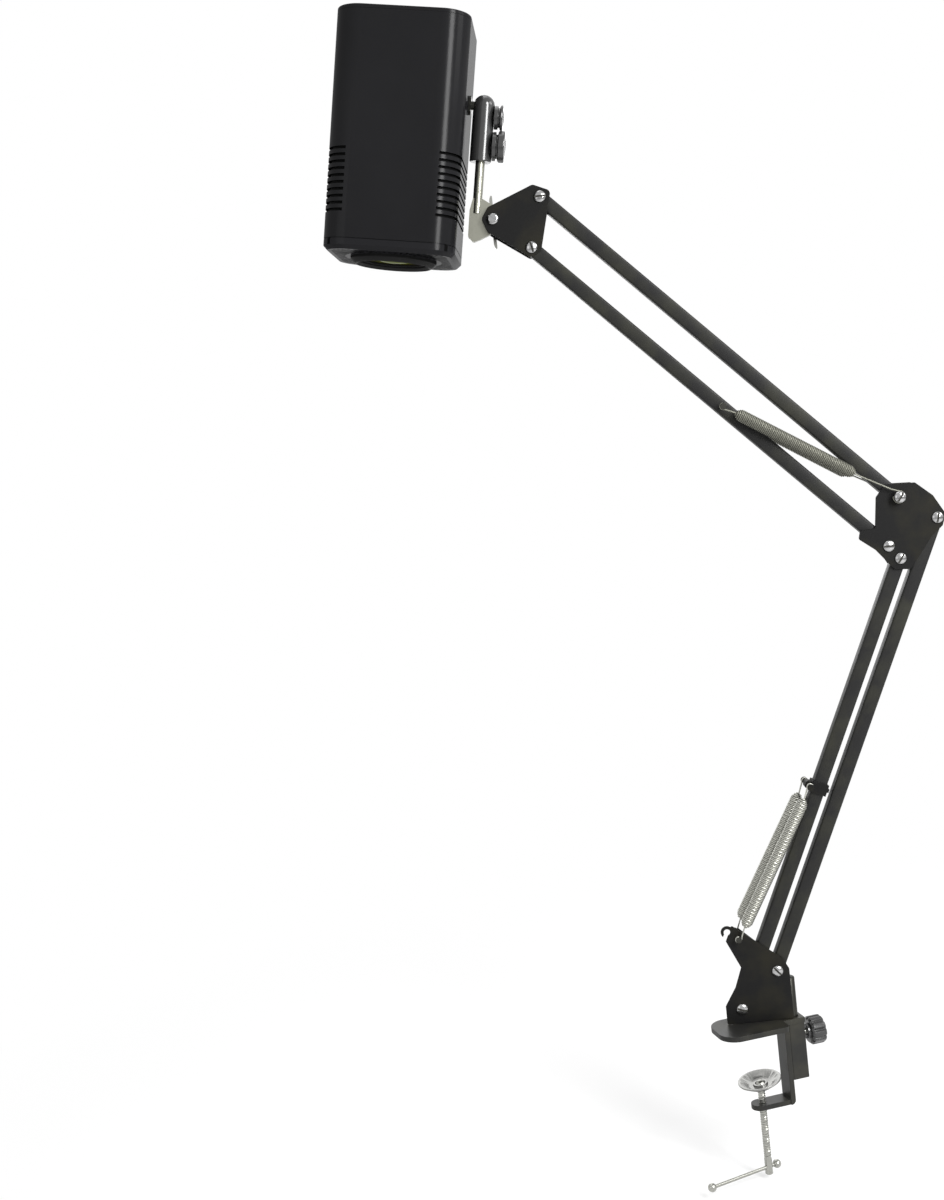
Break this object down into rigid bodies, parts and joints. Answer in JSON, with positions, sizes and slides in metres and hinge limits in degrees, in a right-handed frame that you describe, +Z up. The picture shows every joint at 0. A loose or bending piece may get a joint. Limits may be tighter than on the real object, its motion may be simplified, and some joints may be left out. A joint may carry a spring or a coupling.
{
  "type": "tracing projector",
  "caption": "Projector on a spring-balanced desk arm with a screw clamp, swivel post, ball head, vented square body and focus ring.",
  "frame": {"origin": "centre of the desk clamp's seat, on the desk top", "axes": "+Z up; +X from the clamp's open side to its spine and swivel post; +Y to the rear"},
  "size_m": [0.4349, 0.1751, 0.9186],
  "materials": {
    "clamp_black": "satin black powder coat",
    "plate_black": "matte black powder coat",
    "tube_black": "matte black, fine grained",
    "zinc_steel": "bright zinc",
    "bright_chrome": "polished",
    "spring_steel": "bright drawn wire",
    "rod_steel": "brushed, olive grey",
    "knob_black": "gloss black",
    "bush_plastic": "matte black",
    "housing_black": "satin charcoal",
    "rim_grey": "satin dark grey",
    "focus_black": "matte black",
    "lens_glass": "coated glass",
    "insert_brass": "turned",
    "engine_grey": "cast",
    "board_green": "satin"
  },
  "bodies": {
    "clamp": {"clamp_frame": "clamp_black", "swivel_socket": "clamp_black"},
    "lock_knob": {"socket_lock_knob": "knob_black", "socket_lock_screw": "zinc_steel"},
    "pad_ball": {"pad_ball": "zinc_steel"},
    "clamp_screw": {"clamp_screw": "zinc_steel"},
    "tommy": {"tommy_bar": "zinc_steel", "tommy_knobs": "zinc_steel"},
    "clamp_pad": {"clamp_pad": "bright_chrome"},
    "base_bracket": {"base_plate_front": "plate_black", "base_plate_rear": "plate_black", "base_web": "plate_black", "swivel_post": "plate_black", "base_pivot_screws": "bright_chrome", "base_pivot_nuts": "bright_chrome"},
    "lower_spring_anchor": {"lower_spring_anchor": "plate_black"},
    "lower_main": {"lower_main_tube": "tube_black", "lower_spring_clip": "plate_black"},
    "lower_follow": {"lower_follow_tube": "tube_black"},
    "lower_springs": {"lower_spring_front": "spring_steel", "lower_spring_rear": "spring_steel"},
    "elbow": {"elbow_plate_front": "plate_black", "elbow_plate_rear": "plate_black", "elbow_pivot_screws": "bright_chrome", "elbow_pivot_nuts": "bright_chrome"},
    "upper_spring_bushes": {"upper_spring_bushes": "bush_plastic"},
    "upper_main": {"upper_main_tube": "tube_black", "upper_spring_clip": "plate_black"},
    "upper_follow": {"upper_follow_tube": "tube_black"},
    "upper_springs": {"upper_spring_front": "spring_steel", "upper_spring_rear": "spring_steel"},
    "head_bracket": {"head_plate_front": "plate_black", "head_plate_rear": "plate_black", "head_pivot_screws": "bright_chrome", "head_pivot_nuts": "bright_chrome", "tilt_screw": "bright_chrome", "tilt_washers": "bush_plastic"},
    "wing_nut": {"tilt_wing_nut": "zinc_steel"},
    "rod": {"mount_rod": "rod_steel"},
    "head": {"head_housing": "knob_black"},
    "pan_knob": {"head_lower_knob": "knob_black"},
    "ball_knob": {"head_upper_knob": "knob_black"},
    "projector": {"head_ball": "plate_black", "housing_shell": "housing_black", "top_cover": "housing_black", "dust_screen": "bush_plastic", "mount_insert": "insert_brass", "vent_rim": "rim_grey", "light_engine": "engine_grey", "heat_sink": "engine_grey", "fan_frame": "bush_plastic", "control_board": "board_green", "power_inlet": "bush_plastic"},
    "power_button": {"power_button": "knob_black"},
    "focus_ring": {"focus_ring": "focus_black"},
    "lens": {"lens_barrel": "focus_black", "lens_glass": "lens_glass"},
    "fan_rotor": {"fan_rotor": "bush_plastic"}
  },
  "joints": [
    {"name": "screw_feed", "type": "slide", "parent": "clamp", "child": "pad_ball", "axis": [0, 0, 1], "range_m": [-0.008, 0.035]},
    {"name": "screw_turn", "type": "hinge", "parent": "pad_ball", "child": "clamp_screw", "pos_m": [0, 0, -0.047], "axis": [0, 0, 1], "range_deg": [-1500, 6500]},
    {"name": "bar_slide", "type": "slide", "parent": "clamp_screw", "child": "tommy", "axis": [0.9781, 0.2079, 0], "range_m": [-0.001, 0.047]},
    {"name": "pad_lean", "type": "hinge", "parent": "pad_ball", "child": "clamp_pad", "pos_m": [0, 0, -0.04616], "axis": [0, 1, 0], "range_deg": [0, 16]},
    {"name": "lock_turn", "type": "hinge", "parent": "clamp", "child": "lock_knob", "pos_m": [0.032, 0, -0.011], "axis": [1, 0, 0], "range_deg": [-180, 180]},
    {"name": "base_swivel", "type": "hinge", "parent": "clamp", "child": "base_bracket", "pos_m": [0.032, 0, 0], "axis": [0, 0, 1], "continuous": true},
    {"name": "lower_arm", "type": "hinge", "parent": "base_bracket", "child": "lower_main", "pos_m": [-0.00549, 0.01075, 0.0156], "axis": [-0.2756, -0.9613, 0], "range_deg": [-3, 35]},
    {"name": "lower_follow", "type": "hinge", "parent": "base_bracket", "child": "lower_follow", "pos_m": [0.02338, 0.00247, 0.04351], "axis": [-0.2756, -0.9613, 0], "range_deg": [-4, 36]},
    {"name": "elbow_level", "type": "hinge", "parent": "lower_main", "child": "elbow", "pos_m": [0.1407, -0.03117, 0.354], "axis": [-0.2756, -0.9613, 0], "range_deg": [-36, 4]},
    {"name": "lower_spring_swing", "type": "hinge", "parent": "base_bracket", "child": "lower_spring_anchor", "pos_m": [-0.00357, 0.0102, 0.0726], "axis": [-0.2756, -0.9613, 0], "range_deg": [-6, 51]},
    {"name": "lower_spring_pull", "type": "slide", "parent": "lower_spring_anchor", "child": "lower_springs", "axis": [0.4788, -0.1373, 0.8671], "range_m": [-0.0045, 0.001], "deforming": ["lower_spring_front", "lower_spring_rear"]},
    {"name": "upper_arm", "type": "hinge", "parent": "elbow", "child": "upper_main", "pos_m": [0.13301, -0.02896, 0.3642], "axis": [-0.2756, -0.9613, 0], "range_deg": [-20, 50]},
    {"name": "upper_follow", "type": "hinge", "parent": "elbow", "child": "upper_follow", "pos_m": [0.14261, -0.03172, 0.40045], "axis": [-0.2756, -0.9613, 0], "range_deg": [-21, 51]},
    {"name": "head_level", "type": "hinge", "parent": "upper_main", "child": "head_bracket", "pos_m": [-0.10213, 0.03846, 0.61662], "axis": [-0.2756, -0.9613, 0], "range_deg": [-51, 21]},
    {"name": "upper_spring_swing", "type": "hinge", "parent": "elbow", "child": "upper_spring_bushes", "pos_m": [0.14261, -0.03172, 0.40045], "axis": [-0.2756, -0.9613, 0], "range_deg": [-21, 51]},
    {"name": "upper_spring_pull", "type": "slide", "parent": "upper_spring_bushes", "child": "upper_springs", "axis": [-0.8027, 0.2302, 0.5502], "range_m": [-0.0126, 0.0314], "deforming": ["upper_spring_front", "upper_spring_rear"]},
    {"name": "wing_turn", "type": "hinge", "parent": "head_bracket", "child": "wing_nut", "pos_m": [-0.1277, 0.04579, 0.64062], "axis": [0.2756, 0.9613, 0], "range_deg": [-45, 45]},
    {"name": "head_tilt", "type": "hinge", "parent": "head_bracket", "child": "rod", "pos_m": [-0.1277, 0.04579, 0.64062], "axis": [0.2756, 0.9613, 0], "range_deg": [-45, 30]},
    {"name": "head_pan", "type": "hinge", "parent": "rod", "child": "head", "pos_m": [-0.13225, 0.0471, 0.68421], "axis": [0.1752, -0.0502, 0.9833], "range_deg": [-40, 65]},
    {"name": "pan_lock", "type": "hinge", "parent": "head", "child": "pan_knob", "pos_m": [-0.13015, 0.0465, 0.69601], "axis": [0.935, -0.3044, -0.1821], "range_deg": [-180, 180]},
    {"name": "ball_lock", "type": "hinge", "parent": "head", "child": "ball_knob", "pos_m": [-0.12647, 0.04544, 0.71666], "axis": [0.935, -0.3044, -0.1821], "range_deg": [-180, 180]},
    {"name": "projector_roll", "type": "hinge", "parent": "head", "child": "projector", "pos_m": [-0.12507, 0.04504, 0.72452], "axis": [0.935, -0.3044, -0.1821], "range_deg": [-90, 90]},
    {"name": "power_press", "type": "slide", "parent": "projector", "child": "power_button", "axis": [-0.1752, 0.0502, -0.9833], "range_m": [0, 0.0006], "stiffness_N_per_m": 900, "springref_m": -0.0004},
    {"name": "focus_turn", "type": "hinge", "parent": "projector", "child": "focus_ring", "pos_m": [-0.20098, 0.069, 0.62638], "axis": [0.1752, -0.0502, 0.9833], "range_deg": [-60, 60]},
    {"name": "lens_feed", "type": "slide", "parent": "projector", "child": "lens", "axis": [0.1752, -0.0502, 0.9833], "range_m": [-0.0018, 0.0018]},
    {"name": "fan_spin", "type": "hinge", "parent": "projector", "child": "fan_rotor", "pos_m": [-0.18171, 0.06347, 0.73454], "axis": [0.1752, -0.0502, 0.9833], "continuous": true}
  ],
  "couplings": [
    {"joint": "screw_turn", "follows": "screw_feed", "rad_per_m": 3141.6},
    {"joint": "lower_follow", "follows": "lower_arm", "ratio": 1},
    {"joint": "elbow_level", "follows": "lower_arm", "ratio": -1},
    {"joint": "lower_spring_swing", "follows": "lower_arm", "ratio": 1.42},
    {"joint": "lower_spring_pull", "follows": "lower_arm", "m_per_rad": -0.006},
    {"joint": "upper_follow", "follows": "upper_arm", "ratio": 1},
    {"joint": "head_level", "follows": "upper_arm", "ratio": -1},
    {"joint": "upper_spring_swing", "follows": "upper_arm", "ratio": 1},
    {"joint": "upper_spring_pull", "follows": "upper_arm", "m_per_rad": 0.0355},
    {"joint": "focus_turn", "follows": "lens_feed", "rad_per_m": 555.56}
  ]
}
